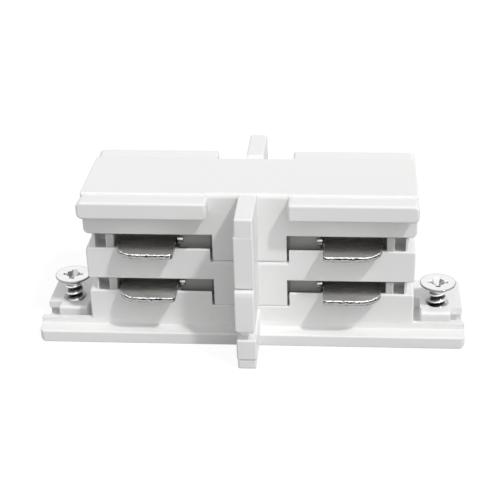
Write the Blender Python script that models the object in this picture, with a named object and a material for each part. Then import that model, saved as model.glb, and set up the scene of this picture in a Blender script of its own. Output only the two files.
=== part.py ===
"""Straight connector for three-circuit lighting track.

It joins two lengths of track end to end. Three moulded layers are stacked on a foot plate and hold four
contact strips between them. A cross of thin fins round the middle keeps the two track ends apart, and a
screw at each end of the foot clamps the connector in its track.

The origin is at the centre of the foot's underside, +X along the track and +Z up. Units are metres.
"""

import math

import bmesh
import bpy
from mathutils import Vector

MM = 0.001

# Running gaps between the pieces
JOINT_GAP = 0.2 * MM
STRIP_GAP = 0.25 * MM
SCREW_GAP = 0.2 * MM
CUT_MARGIN = 1.0 * MM

# Plan sizes of the stack
COVER_LENGTH = 57.0 * MM
COVER_OVERHANG = 0.1 * MM
BODY_WIDTH = 15.8 * MM
LIP_REACH = 3.7 * MM
COLUMN_WIDTH = 13.0 * MM
COLUMN_SKIN = 1.3 * MM
COLUMN_SIDE_GAP = 0.3 * MM
EDGE_ROUND = 0.35 * MM
COLUMN_TOP_ROUND = 0.8 * MM

# Heights of the stack, from the foot's underside
FOOT_FACE_HEIGHT = 2.25 * MM
LEDGE_HEIGHT = 2.6 * MM
RAIL_HEIGHT = 3.6 * MM
LOWER_JOINT_HEIGHT = 6.85 * MM
LOWER_SLOT_FLOOR = 9.3 * MM
LOWER_SLOT_HEIGHT = 2.4 * MM
MIDDLE_WALL_HEIGHT = 5.95 * MM
UPPER_SLOT_HEIGHT = 2.65 * MM
COVER_WALL_HEIGHT = 4.7 * MM
LIP_THICKNESS = 2.95 * MM
PANEL_RISE = 0.15 * MM
UPPER_JOINT_DROP = 1.95 * MM

# Foot plate and its end pads, which run out past the stack
PAD_LENGTH = 9.0 * MM
FOOT_STEP = 2.5 * MM
FOOT_ROUND = 0.55 * MM
RAIL_STRIP_WIDTH = 1.4 * MM
TRENCH_FLOOR = 1.2 * MM
PAD_FRONT = 2.3 * MM
BOSS_FRONT = 4.4 * MM
BOSS_OFFSET = 4.2 * MM
BOSS_WIDTH = 4.8 * MM
PIT_REAR = 1.5 * MM

# Separator fins
FIN_THICKNESS = 3.1 * MM
FIN_SWELL = 0.15 * MM
FIN_REACH = 18.1 * MM
FIN_RISE = 0.25 * MM
FIN_TOP_SETBACK = 0.9 * MM
FIN_ROUND = 0.3 * MM
MIDDLE_FIN_STEP = 0.9 * MM
MIDDLE_FIN_CHAMFER = 1.0 * MM
NECK_TOP = 7.9 * MM
NECK_SETBACK = 1.6 * MM
NECK_FOOT = 5.45 * MM
NECK_THICKNESS = 2.4 * MM
HEEL_STEP = 0.2 * MM
HEEL_FOOT = 1.9 * MM

# Core of each slot, between the layers
CORE_END_SETBACK = 1.6 * MM
CORE_SETBACK = 1.0 * MM
END_WALL = 0.4 * MM
POST_WIDTH = 1.5 * MM
POST_SETBACK = 0.2 * MM
NICHE_WIDTH = 1.6 * MM
NICHE_DEPTH = 1.0 * MM

# Contact strips
STRIP_THICKNESS = 0.9 * MM
STRIP_WIDTH = 2.4 * MM
STRIP_SIDE_GAP = 0.2 * MM
STRIP_WALL = 0.8 * MM
RECESS_LENGTH = 4.5 * MM
TAB_OUTER_GAP = 0.6 * MM
TAB_INNER_GAP = 1.4 * MM
TAB_REACH = 4.5 * MM
TAB_OUTER_ROUND = 3.8 * MM
TAB_INNER_ROUND = 0.8 * MM
EAR_WIDTH = 0.8 * MM
EAR_REACH = 1.7 * MM
EAR_RISE = 1.1 * MM
EAR_ROOT = 0.3 * MM

# Clamp screws
CLAMP_OFFSET = 4.6 * MM
CLAMP_LENGTH = 6.6 * MM
CLAMP_SHANK = 2.9 * MM
CLAMP_HEAD = 6.4 * MM
CLAMP_HEAD_RIM = 0.35 * MM
CLAMP_HEAD_CONE = 1.6 * MM
CLAMP_POINT = 1.3 * MM
CLAMP_RISE_LEFT = 4.6 * MM
CLAMP_RISE_RIGHT = 4.1 * MM
CROSS_SPAN = 3.6 * MM
CROSS_WIDTH = 0.75 * MM
CROSS_DEPTH = 1.5 * MM
COUNTERSINK_WIDTH = 4.2 * MM
COUNTERSINK_DEPTH = 0.45 * MM

# Assembly screws
ASSEMBLY_INSET = 11.4 * MM
ASSEMBLY_SHANK = 2.2 * MM
ASSEMBLY_HEAD = 4.2 * MM
ASSEMBLY_HEAD_HEIGHT = 1.4 * MM
ASSEMBLY_HEAD_SEAT = 2.4 * MM
ASSEMBLY_GRIP = 4.0 * MM

# Earth strip
EARTH_THICKNESS = 0.4 * MM
EARTH_WIDTH = 6.6 * MM
EARTH_END_MARGIN = 2.6 * MM
EARTH_COVER = 0.15 * MM

ROUND_SIDES = 32
ARC_STEPS = 5

# Heights and places that follow
LOWER_SLOT_TOP = LOWER_SLOT_FLOOR + LOWER_SLOT_HEIGHT
UPPER_SLOT_FLOOR = LOWER_SLOT_TOP + MIDDLE_WALL_HEIGHT
UPPER_SLOT_TOP = UPPER_SLOT_FLOOR + UPPER_SLOT_HEIGHT
UPPER_JOINT_HEIGHT = UPPER_SLOT_FLOOR - UPPER_JOINT_DROP
LIP_FOOT = UPPER_SLOT_TOP + COVER_WALL_HEIGHT
LIP_TOP = LIP_FOOT + LIP_THICKNESS
PANEL_TOP = LIP_TOP + PANEL_RISE
HALF_BODY = BODY_WIDTH / 2
HALF_WALL = COVER_LENGTH / 2 - COVER_OVERHANG
HALF_FOOT = HALF_WALL + PAD_LENGTH
HALF_COLUMN = COLUMN_WIDTH / 2
HALF_OPENING = HALF_COLUMN + COLUMN_SIDE_GAP
INNER_FRONT = HALF_BODY - COLUMN_SKIN - COLUMN_SIDE_GAP
CHANNEL_OUTER = INNER_FRONT - STRIP_WALL
STRIP_OUTER = CHANNEL_OUTER - STRIP_SIDE_GAP
STRIP_INNER = STRIP_OUTER - STRIP_WIDTH
RIB_SIDE = STRIP_INNER - STRIP_SIDE_GAP
FIN_ROOT = HALF_BODY - COLUMN_SKIN / 2
NECK_REACH = FIN_REACH - NECK_SETBACK
CORE_END = HALF_WALL - CORE_END_SETBACK
NICHE_END = CORE_END - END_WALL
NICHE_START = NICHE_END - NICHE_WIDTH
POCKET_END = NICHE_START - POST_WIDTH
TAB_END = POCKET_END - TAB_OUTER_GAP
POCKET_START = HALF_OPENING + RECESS_LENGTH
TAB_START = POCKET_START + TAB_INNER_GAP
CLAMP_X = HALF_WALL + CLAMP_OFFSET
ASSEMBLY_X = HALF_WALL - ASSEMBLY_INSET


def rounded_outline(corners, steps=ARC_STEPS):
    """The closed outline through corners given as (first, second, radius), with an arc at each radius."""
    points = []
    for index, (first, second, radius) in enumerate(corners):
        here = Vector((first, second))
        if radius == 0:
            points.append(here)
            continue
        before = Vector(corners[index - 1][:2])
        after = Vector(corners[(index + 1) % len(corners)][:2])
        to_before = (before - here).normalized()
        to_after = (after - here).normalized()
        half_angle = to_before.angle(to_after) / 2
        centre = here + (to_before + to_after).normalized() * radius / math.sin(half_angle)
        start = here + to_before * radius / math.tan(half_angle) - centre
        end = here + to_after * radius / math.tan(half_angle) - centre
        start_angle = math.atan2(start.y, start.x)
        turn = math.atan2(start.cross(end), start.dot(end))
        for step in range(steps + 1):
            angle = start_angle + turn * step / steps
            points.append(centre + radius * Vector((math.cos(angle), math.sin(angle))))
    return points


def mirrored(half):
    """A whole outline from its +first half, whose points run from one end of the mirror line to the other."""
    return list(half) + [(-first, second, radius) for first, second, radius in reversed(half)]


def place(axis, first, second, along):
    """A point from its two outline coordinates and its place along the extrusion axis."""
    return {"x": (along, first, second), "y": (first, along, second), "z": (first, second, along)}[axis]


def new_object(name, shape, material=None):
    """A mesh object from a bmesh, with its faces pointing out."""
    bmesh.ops.recalc_face_normals(shape, faces=shape.faces)
    mesh = bpy.data.meshes.new(name)
    shape.to_mesh(mesh)
    shape.free()
    made = bpy.data.objects.new(name, mesh)
    bpy.context.scene.collection.objects.link(made)
    if material:
        mesh.materials.append(material)
    return made


def extruded(name, outline, axis, low, high, material=None):
    """A prism with this outline, from low to high along an axis."""
    shape = bmesh.new()
    foot = [shape.verts.new(place(axis, point[0], point[1], low)) for point in outline]
    top = [shape.verts.new(place(axis, point[0], point[1], high)) for point in outline]
    shape.faces.new(foot)
    shape.faces.new(top)
    for index in range(len(foot)):
        after = (index + 1) % len(foot)
        shape.faces.new((foot[index], foot[after], top[after], top[index]))
    return new_object(name, shape, material)


def block(name, across, deep, tall, material=None):
    """A box from its (low, high) pairs along X, Y and Z."""
    outline = [(across[0], deep[0]), (across[1], deep[0]), (across[1], deep[1]), (across[0], deep[1])]
    return extruded(name, outline, "z", tall[0], tall[1], material)


def turned(name, profile, centre, material=None):
    """A body of revolution about a vertical axis through centre, from (radius, height) points."""
    shape = bmesh.new()
    rings = []
    for radius, height in profile:
        if radius == 0:
            rings.append([shape.verts.new((centre[0], centre[1], height))])
            continue
        ring = []
        for side in range(ROUND_SIDES):
            angle = 2 * math.pi * (side + 0.5) / ROUND_SIDES
            spot = (centre[0] + radius * math.cos(angle), centre[1] + radius * math.sin(angle), height)
            ring.append(shape.verts.new(spot))
        rings.append(ring)
    for lower, upper in zip(rings, rings[1:]):
        for side in range(ROUND_SIDES):
            after = (side + 1) % ROUND_SIDES
            corners = [lower[side % len(lower)], lower[after % len(lower)]]
            corners += [upper[after % len(upper)], upper[side % len(upper)]]
            shape.faces.new(list(dict.fromkeys(corners)))
    for end in (rings[0], rings[-1]):
        if len(end) > 1:
            shape.faces.new(end)
    return new_object(name, shape, material)


def rounded_edges(solid, width, segments=2):
    """Rounds every sharp edge of a solid."""
    bevel = solid.modifiers.new("edge_round", "BEVEL")
    bevel.width = width
    bevel.segments = segments
    bevel.limit_method = "ANGLE"
    bevel.angle_limit = math.radians(40)
    return solid


def boolean(target, operation, helpers):
    """Joins helpers to a solid, or cuts them from it."""
    for helper in helpers:
        helper.hide_render = True
        helper.display_type = "WIRE"
        step = target.modifiers.new(helper.name, "BOOLEAN")
        step.operation = operation
        step.object = helper


def finish(solid):
    """Smooth shading with the sharp edges kept."""
    solid.data.shade_smooth()
    solid.data.set_sharp_from_angle(angle=math.radians(35))
    return solid


def surface(name, colour, roughness, metallic=0.0):
    """A Principled material."""
    material = bpy.data.materials.new(name)
    material.use_nodes = True
    shader = material.node_tree.nodes["Principled BSDF"]
    shader.inputs["Base Color"].default_value = (*colour, 1.0)
    shader.inputs["Roughness"].default_value = roughness
    shader.inputs["Metallic"].default_value = metallic
    return material


def white_plastic(name):
    return surface(name, (0.86, 0.86, 0.85), 0.38)


SIDES = (("front", -1), ("rear", 1))


def column_skins(name, low, high):
    """The front and rear walls of the column, which hang down over the layer below."""
    skins = []
    for place_name, side in SIDES:
        deep = sorted((side * HALF_BODY, side * (HALF_BODY - COLUMN_SKIN)))
        skins.append(block(f"{name}_{place_name}", (-HALF_COLUMN, HALF_COLUMN), deep, (low, high)))
    return skins


def column_seats(name, low, high):
    """The recesses that take the column walls of the layer above."""
    seats = []
    for place_name, side in SIDES:
        deep = sorted((side * (HALF_BODY + LIP_REACH), side * INNER_FRONT))
        seats.append(block(f"{name}_{place_name}", (-HALF_OPENING, HALF_OPENING), deep, (low, high)))
    return seats


def fins(name, corners, thickness, edge=FIN_ROUND):
    """One fin at the front and one at the rear, from (reach, height) corners."""
    made = []
    for place_name, side in SIDES:
        outline = [(side * reach, height) for reach, height in corners]
        fin = extruded(f"{name}_{place_name}", outline, "x", -thickness / 2, thickness / 2)
        made.append(rounded_edges(fin, edge))
    return made


def slot_core(name, floor, top):
    """What stands in a contact slot: the middle rib with its end blocks, and the two inner front walls."""
    root = floor - STRIP_THICKNESS
    post_face = HALF_BODY - POST_SETBACK
    niche_back = post_face - NICHE_DEPTH
    quarter = [
        (RIB_SIDE, POCKET_END),
        (post_face, POCKET_END),
        (post_face, NICHE_START),
        (niche_back, NICHE_START),
        (niche_back, NICHE_END),
        (post_face, NICHE_END),
        (post_face, CORE_END),
    ]
    right_front = [(x, -y) for y, x in quarter]
    right_rear = [(x, y) for y, x in reversed(quarter)]
    left_rear = [(-x, y) for x, y in reversed(right_rear)]
    left_front = [(-x, y) for x, y in reversed(right_front)]
    parts = [extruded(f"{name}_rib", right_front + right_rear + left_rear + left_front, "z", root, top)]
    wall_face = HALF_BODY - CORE_SETBACK
    for place_name, side in SIDES:
        outline = [
            (-POCKET_START, side * wall_face),
            (-HALF_OPENING, side * wall_face),
            (-HALF_OPENING, side * INNER_FRONT),
            (HALF_OPENING, side * INNER_FRONT),
            (HALF_OPENING, side * wall_face),
            (POCKET_START, side * wall_face),
            (POCKET_START, side * CHANNEL_OUTER),
            (-POCKET_START, side * CHANNEL_OUTER),
        ]
        parts.append(extruded(f"{name}_wall_{place_name}", outline, "z", root, top))
    return parts


def screw_holes(name, spots, radius, low, high):
    """Round holes at (x, y) spots."""
    wall = ((radius, low), (radius, high))
    return [turned(f"{name}_{index}", wall, spot) for index, spot in enumerate(spots)]


def assembly_spots():
    return [(-ASSEMBLY_X, 0), (ASSEMBLY_X, 0)]


def clamp_spots():
    return [(-CLAMP_X, 0), (CLAMP_X, 0)]


def lip_outline():
    """Section of the cover: the wall with a lip at each side."""
    lip_edge = HALF_BODY + LIP_REACH
    half = [
        (HALF_BODY, UPPER_SLOT_TOP, 0),
        (HALF_BODY, LIP_FOOT, 0),
        (lip_edge, LIP_FOOT, 0),
        (lip_edge, LIP_TOP, 0),
    ]
    return rounded_outline(mirrored(half))


def top_cover():
    """The flat top with its four lips, and the upper part of the column and of the fins."""
    half_length = COVER_LENGTH / 2
    plastic = white_plastic("cover_plastic")
    cover = extruded("top_cover", lip_outline(), "x", -half_length, half_length, plastic)
    rounded_edges(cover, EDGE_ROUND)
    beyond = HALF_BODY + 2 * LIP_REACH
    gaps = []
    for side in (-1, 1):
        deep = sorted((side * HALF_BODY, side * beyond))
        tall = (UPPER_SLOT_TOP - LIP_REACH, PANEL_TOP + LIP_REACH)
        gaps.append(block(f"lip_gap_{side}", (-HALF_OPENING, HALF_OPENING), deep, tall))
    boolean(cover, "DIFFERENCE", gaps)
    panel = block(
        "raised_panel",
        (-half_length + EDGE_ROUND, half_length - EDGE_ROUND),
        (-HALF_BODY, HALF_BODY),
        (LIP_FOOT, PANEL_TOP),
    )
    foot = UPPER_JOINT_HEIGHT + JOINT_GAP / 2
    boolean(cover, "UNION", [rounded_edges(panel, PANEL_RISE * 0.8)])
    boolean(cover, "UNION", column_skins("cover_column", foot, LIP_FOOT + EDGE_ROUND))
    rounding = []
    for side in (-1, 1):
        corner = [
            (side * (HALF_BODY + EDGE_ROUND), PANEL_TOP + EDGE_ROUND, 0),
            (side * (HALF_BODY + EDGE_ROUND), PANEL_TOP - COLUMN_TOP_ROUND, 0),
            (side * HALF_BODY, PANEL_TOP - COLUMN_TOP_ROUND, 0),
            (side * HALF_BODY, PANEL_TOP, COLUMN_TOP_ROUND),
            (side * (HALF_BODY - COLUMN_TOP_ROUND), PANEL_TOP, 0),
            (side * (HALF_BODY - COLUMN_TOP_ROUND), PANEL_TOP + EDGE_ROUND, 0),
        ]
        rounding.append(
            extruded(f"column_top_round_{side}", rounded_outline(corner), "x", -HALF_OPENING, HALF_OPENING)
        )
    boolean(cover, "DIFFERENCE", rounding)
    fin_top = LIP_TOP + PANEL_RISE + FIN_RISE
    upper = [
        (FIN_ROOT, foot),
        (FIN_REACH, foot),
        (FIN_REACH, fin_top),
        (HALF_BODY + FIN_TOP_SETBACK, fin_top),
        (FIN_ROOT, fin_top - 2 * COLUMN_TOP_ROUND),
    ]
    boolean(cover, "UNION", fins("cover_fin", upper, FIN_THICKNESS))
    swell = [
        (FIN_ROOT, foot),
        (FIN_REACH + FIN_SWELL, foot),
        (FIN_REACH + FIN_SWELL, LIP_FOOT),
        (FIN_ROOT, LIP_FOOT),
    ]
    boolean(cover, "UNION", fins("cover_fin_swell", swell, FIN_THICKNESS + 2 * FIN_SWELL))
    pilot_top = UPPER_SLOT_TOP + ASSEMBLY_GRIP + 2 * SCREW_GAP
    radius = ASSEMBLY_SHANK / 2 + SCREW_GAP
    boolean(cover, "DIFFERENCE", screw_holes("pilot", assembly_spots(), radius, LOWER_SLOT_TOP, pilot_top))
    return finish(cover)


def middle_layer():
    """The tray between the two slots, with the core of the upper slot on it."""
    layer = block(
        "middle_layer",
        (-HALF_WALL, HALF_WALL),
        (-HALF_BODY, HALF_BODY),
        (LOWER_SLOT_TOP, UPPER_SLOT_FLOOR),
        white_plastic("middle_plastic"),
    )
    rounded_edges(layer, EDGE_ROUND)
    foot = LOWER_JOINT_HEIGHT + JOINT_GAP / 2
    shoulder = UPPER_JOINT_HEIGHT - JOINT_GAP / 2
    boolean(layer, "UNION", column_skins("middle_column", foot, shoulder))
    boolean(layer, "DIFFERENCE", column_seats("middle_seat", shoulder, UPPER_SLOT_FLOOR + COLUMN_SKIN))
    boolean(layer, "UNION", slot_core("upper_core", UPPER_SLOT_FLOOR, UPPER_SLOT_TOP - JOINT_GAP))
    reach = FIN_REACH + MIDDLE_FIN_STEP
    blade = [
        (FIN_ROOT, foot),
        (NECK_REACH, foot),
        (NECK_REACH, NECK_TOP),
        (reach, NECK_TOP),
        (reach, shoulder - MIDDLE_FIN_CHAMFER),
        (reach - MIDDLE_FIN_CHAMFER, shoulder),
        (FIN_ROOT, shoulder),
    ]
    boolean(layer, "UNION", fins("middle_fin", blade, FIN_THICKNESS + 2 * FIN_SWELL))
    radius = ASSEMBLY_SHANK / 2 + SCREW_GAP
    holes = screw_holes("middle_hole", assembly_spots(), radius, LOWER_SLOT_FLOOR, UPPER_SLOT_TOP + JOINT_GAP)
    boolean(layer, "DIFFERENCE", holes)
    return finish(layer)


def foot_outline():
    """Section of the foot plate with its stepped rails."""
    foot_edge = HALF_BODY + FOOT_STEP
    half = [
        (foot_edge, 0, FOOT_ROUND),
        (foot_edge, FOOT_FACE_HEIGHT, FOOT_ROUND),
        (HALF_BODY, LEDGE_HEIGHT, 0),
        (HALF_BODY, RAIL_HEIGHT, 0),
    ]
    return rounded_outline(mirrored(half), 3)


def trenches():
    """The trench behind the front rail at each end, which runs round the screw boss into a pit."""
    boss_inner = HALF_WALL + BOSS_OFFSET - BOSS_WIDTH / 2
    boss_outer = boss_inner + BOSS_WIDTH
    rail_rear = HALF_BODY - RAIL_STRIP_WIDTH
    past_end = HALF_FOOT + CUT_MARGIN
    made = []
    for side in (-1, 1):
        corners = [
            (side * HALF_WALL, -rail_rear, 0),
            (side * past_end, -rail_rear, 0),
            (side * past_end, -PAD_FRONT, 0),
            (side * boss_outer, -PAD_FRONT, 0),
            (side * boss_outer, -BOSS_FRONT, EDGE_ROUND),
            (side * boss_inner, -BOSS_FRONT, EDGE_ROUND),
            (side * boss_inner, PIT_REAR, 0),
            (side * HALF_WALL, PIT_REAR, 0),
        ]
        outline = rounded_outline(corners, 3)
        made.append(extruded(f"trench_{side}", outline, "z", TRENCH_FLOOR, RAIL_HEIGHT + CUT_MARGIN))
    return made


def base_body():
    """The foot plate with the lowest wall, the core of the lower slot and the feet of the fins."""
    body = extruded("base_body", foot_outline(), "x", -HALF_FOOT, HALF_FOOT, white_plastic("base_plastic"))
    rounded_edges(body, EDGE_ROUND)
    boolean(body, "DIFFERENCE", trenches())
    wall = block(
        "base_wall",
        (-HALF_WALL, HALF_WALL),
        (-HALF_BODY, HALF_BODY),
        (TRENCH_FLOOR - EDGE_ROUND, LOWER_SLOT_FLOOR),
    )
    boolean(body, "UNION", [rounded_edges(wall, EDGE_ROUND)])
    shoulder = LOWER_JOINT_HEIGHT - JOINT_GAP / 2
    boolean(body, "DIFFERENCE", column_seats("base_seat", shoulder, LOWER_SLOT_FLOOR + COLUMN_SKIN))
    boolean(body, "UNION", slot_core("lower_core", LOWER_SLOT_FLOOR, LOWER_SLOT_TOP - JOINT_GAP))
    toe = [
        (FIN_ROOT, 0),
        (FIN_REACH, 0),
        (FIN_REACH, NECK_FOOT - FIN_ROUND),
        (FIN_ROOT, NECK_FOOT - FIN_ROUND),
    ]
    boolean(body, "UNION", fins("toe_fin", toe, FIN_THICKNESS))
    heel = [
        (FIN_ROOT, HEEL_FOOT),
        (FIN_REACH + HEEL_STEP, HEEL_FOOT),
        (FIN_REACH + HEEL_STEP, NECK_FOOT),
        (FIN_ROOT, NECK_FOOT),
    ]
    boolean(body, "UNION", fins("heel_fin", heel, FIN_THICKNESS + 2 * FIN_SWELL, FIN_SWELL))
    neck = [
        (FIN_ROOT, HEEL_FOOT),
        (NECK_REACH, HEEL_FOOT),
        (NECK_REACH, shoulder),
        (FIN_ROOT, shoulder),
    ]
    boolean(body, "UNION", fins("neck_fin", neck, NECK_THICKNESS, FIN_SWELL))
    radius = CLAMP_SHANK / 2 + SCREW_GAP
    sink = COUNTERSINK_WIDTH / 2
    wall = (
        (radius, -CUT_MARGIN),
        (radius, RAIL_HEIGHT - COUNTERSINK_DEPTH),
        (sink, RAIL_HEIGHT),
        (sink, RAIL_HEIGHT + CUT_MARGIN),
    )
    boolean(body, "DIFFERENCE", [turned(f"clamp_hole_{spot[0]:.3f}", wall, spot) for spot in clamp_spots()])
    hole = ASSEMBLY_SHANK / 2 + SCREW_GAP
    boolean(body, "DIFFERENCE", screw_holes("base_hole", assembly_spots(), hole, 0, LOWER_SLOT_TOP))
    seat = ASSEMBLY_HEAD / 2 + 2 * SCREW_GAP
    seats = screw_holes("counterbore", assembly_spots(), seat, -CUT_MARGIN, ASSEMBLY_HEAD_SEAT)
    boolean(body, "DIFFERENCE", seats)
    channel_end = HALF_FOOT - EARTH_END_MARGIN + SCREW_GAP
    channel_side = EARTH_WIDTH / 2 + SCREW_GAP
    channel = block(
        "earth_channel",
        (-channel_end, channel_end),
        (-channel_side, channel_side),
        (-CUT_MARGIN, EARTH_COVER + EARTH_THICKNESS + SCREW_GAP),
    )
    boolean(body, "DIFFERENCE", [channel])
    return finish(body)


def contact_strip(name, side, floor):
    """One stamped conductor: a bar through the column with a rounded tab at both ends."""
    low = floor + STRIP_GAP
    top = low + STRIP_THICKNESS
    tip = HALF_BODY + TAB_REACH
    half = [
        (TAB_END, STRIP_INNER, 0),
        (TAB_END, tip, TAB_OUTER_ROUND),
        (TAB_START, tip, TAB_INNER_ROUND),
        (TAB_START, STRIP_OUTER, 0),
    ]
    corners = mirrored([(x, side * y, radius) for x, y, radius in half])
    material = surface(f"{name}_metal", (0.66, 0.65, 0.63), 0.32, 1.0)
    strip = extruded(name, rounded_outline(corners), "z", low, top, material)
    ears = []
    for end in (-1, 1):
        inner = POCKET_START + STRIP_SIDE_GAP
        across = sorted((end * inner, end * (inner + EAR_WIDTH)))
        deep = sorted((side * (STRIP_OUTER - EAR_ROOT), side * (STRIP_OUTER + EAR_REACH)))
        ears.append(block(f"{name}_ear_{end}", across, deep, (top - EAR_ROOT, top + EAR_RISE)))
    boolean(strip, "UNION", ears)
    return finish(strip)


def clamp_screw(name, x, top):
    """A countersunk screw with a cross recess, its axis vertical and its origin at the head's top."""
    head = CLAMP_HEAD / 2
    shank = CLAMP_SHANK / 2
    profile = (
        (0, -CLAMP_LENGTH),
        (shank, CLAMP_POINT - CLAMP_LENGTH),
        (shank, -CLAMP_HEAD_RIM - CLAMP_HEAD_CONE),
        (head, -CLAMP_HEAD_RIM),
        (head, 0),
    )
    screw = turned(name, profile, (0, 0), surface(f"{name}_metal", (0.72, 0.72, 0.72), 0.22, 1.0))
    arms = []
    for turn in (0, 1):
        half_span = CROSS_SPAN / 2
        half = [(half_span, CUT_MARGIN, 0), (half_span, 0, 0), (CROSS_WIDTH, -CROSS_DEPTH, 0)]
        outline = rounded_outline(mirrored(half))
        axis = "y" if turn else "x"
        arm = extruded(f"{name}_cross_{turn}", outline, axis, -CROSS_WIDTH / 2, CROSS_WIDTH / 2)
        arm.parent = screw
        arms.append(arm)
    boolean(screw, "DIFFERENCE", arms)
    screw.location = (x, 0, top)
    return finish(screw)


def assembly_screw(name, x):
    """A pan-head screw from the underside, through the base and the middle layer into the cover."""
    shank = ASSEMBLY_SHANK / 2
    head = ASSEMBLY_HEAD / 2
    head_top = ASSEMBLY_HEAD_SEAT - SCREW_GAP
    tip = UPPER_SLOT_TOP + ASSEMBLY_GRIP
    profile = (
        (head - ASSEMBLY_HEAD_HEIGHT / 3, head_top - ASSEMBLY_HEAD_HEIGHT),
        (head, head_top - ASSEMBLY_HEAD_HEIGHT * 2 / 3),
        (head, head_top),
        (shank, head_top),
        (shank, tip - shank),
        (0, tip),
    )
    return finish(turned(name, profile, (x, 0), surface(f"{name}_metal", (0.55, 0.55, 0.55), 0.3, 1.0)))


def earth_strip():
    """The strip in the foot's underside that bonds both clamp screws."""
    half_length = HALF_FOOT - EARTH_END_MARGIN
    strip = block(
        "earth_strip",
        (-half_length, half_length),
        (-EARTH_WIDTH / 2, EARTH_WIDTH / 2),
        (EARTH_COVER, EARTH_COVER + EARTH_THICKNESS),
        surface("earth_metal", (0.78, 0.62, 0.36), 0.35, 1.0),
    )
    low, high = -CUT_MARGIN, EARTH_THICKNESS + CUT_MARGIN
    clamp_radius = CLAMP_SHANK / 2 + SCREW_GAP
    head_radius = ASSEMBLY_HEAD / 2 + 3 * SCREW_GAP
    boolean(strip, "DIFFERENCE", screw_holes("earth_clamp_hole", clamp_spots(), clamp_radius, low, high))
    boolean(strip, "DIFFERENCE", screw_holes("earth_head_hole", assembly_spots(), head_radius, low, high))
    return finish(strip)


def build():
    for old in list(bpy.data.objects):
        bpy.data.objects.remove(old, do_unlink=True)
    base_body()
    middle_layer()
    top_cover()
    for place_name, side in SIDES:
        contact_strip(f"contact_strip_{place_name}_upper", side, UPPER_SLOT_FLOOR)
        contact_strip(f"contact_strip_{place_name}_lower", side, LOWER_SLOT_FLOOR)
    clamp_screw("clamp_screw_left", -CLAMP_X, RAIL_HEIGHT + CLAMP_RISE_LEFT)
    clamp_screw("clamp_screw_right", CLAMP_X, RAIL_HEIGHT + CLAMP_RISE_RIGHT)
    assembly_screw("assembly_screw_left", -ASSEMBLY_X)
    assembly_screw("assembly_screw_right", ASSEMBLY_X)
    earth_strip()


build()
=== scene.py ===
import math

import bpy
from mathutils import Matrix, Vector


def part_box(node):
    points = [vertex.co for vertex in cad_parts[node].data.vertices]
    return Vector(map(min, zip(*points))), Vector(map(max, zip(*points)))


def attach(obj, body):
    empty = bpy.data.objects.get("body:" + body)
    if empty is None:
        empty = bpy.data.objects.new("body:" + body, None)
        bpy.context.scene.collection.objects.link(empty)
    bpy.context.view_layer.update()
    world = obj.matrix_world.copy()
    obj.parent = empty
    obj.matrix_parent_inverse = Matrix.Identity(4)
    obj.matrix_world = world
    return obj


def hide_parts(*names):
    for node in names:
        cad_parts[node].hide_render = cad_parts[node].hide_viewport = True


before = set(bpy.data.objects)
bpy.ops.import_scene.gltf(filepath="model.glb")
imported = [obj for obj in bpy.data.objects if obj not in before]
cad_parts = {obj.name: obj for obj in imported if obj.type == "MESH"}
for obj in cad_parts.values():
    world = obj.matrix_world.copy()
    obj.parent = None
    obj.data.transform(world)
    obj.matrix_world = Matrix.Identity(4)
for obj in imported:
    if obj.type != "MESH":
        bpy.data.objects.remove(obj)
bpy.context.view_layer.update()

# Base body. The lowest of the three white mouldings: a foot plate with a stepped rail along each side, the
# lowest wall of the stack, the core of the lower slot and the feet of both fins, all moulded in one piece.
mm = 0.001
half_foot = (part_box("base_body")[1] / mm).x
pad_length = 9.0
half_wall = half_foot - pad_length
half_body = 7.9
foot_edge = 10.4
foot_face_top = 2.25
ledge_top = 2.6
rail_top = 3.6
foot_round = 0.4
corner_round = 0.8
edge_round = 0.35
fine_round = 0.12
beyond = 1.0
flush = 0.05
hairline = 0.02


def new_piece(name):
    """Names the primitive that was just added, and puts its place, turn and scale into its mesh."""
    made = bpy.context.object
    made.name = name
    bpy.ops.object.transform_apply(location=True, rotation=True, scale=True)
    return made


def block(name, across, deep, tall):
    """A box from its (low, high) pairs in millimetres along X, Y and Z."""
    low = Vector((across[0], deep[0], tall[0])) * mm
    high = Vector((across[1], deep[1], tall[1])) * mm
    bpy.ops.object.select_all(action="DESELECT")
    bpy.ops.mesh.primitive_cube_add(size=1, location=(low + high) / 2, scale=high - low)
    return new_piece(name)


def one_side(side, near, far):
    """The (low, high) pair between two distances from the middle, on its -1 or its 1 side."""
    return sorted((side * near, side * far))


def select_only(piece):
    """Selects one piece and makes it the active one."""
    bpy.ops.object.select_all(action="DESELECT")
    piece.select_set(True)
    bpy.context.view_layer.objects.active = piece


def work_on(piece, kind):
    """Opens a piece alone in edit mode, with nothing selected."""
    select_only(piece)
    bpy.ops.object.mode_set(mode="EDIT")
    bpy.ops.mesh.select_mode(type=kind)
    bpy.ops.mesh.select_all(action="DESELECT")


def pick_sharp_edges(piece, wanted, sharpness=40):
    """Leaves a piece in edit mode with its sharp edges selected where wanted(middle, direction) holds."""
    work_on(piece, "EDGE")
    bpy.ops.mesh.edges_select_sharp(sharpness=math.radians(sharpness))
    bpy.ops.object.mode_set(mode="OBJECT")
    points = piece.data.vertices
    chosen = []
    for edge in piece.data.edges:
        if edge.select:
            start, end = (points[index].co / mm for index in edge.vertices)
            if wanted((start + end) / 2, (end - start).normalized()):
                chosen.append(edge)
    for group in (points, piece.data.polygons, piece.data.edges):
        group.foreach_set("select", [False] * len(group))
    for edge in chosen:
        edge.select = True
        for index in edge.vertices:
            points[index].select = True
    bpy.ops.object.mode_set(mode="EDIT")


def runs(along, axis):
    """Whether an edge's direction follows an axis."""
    return abs(getattr(along, axis)) > 0.9


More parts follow.
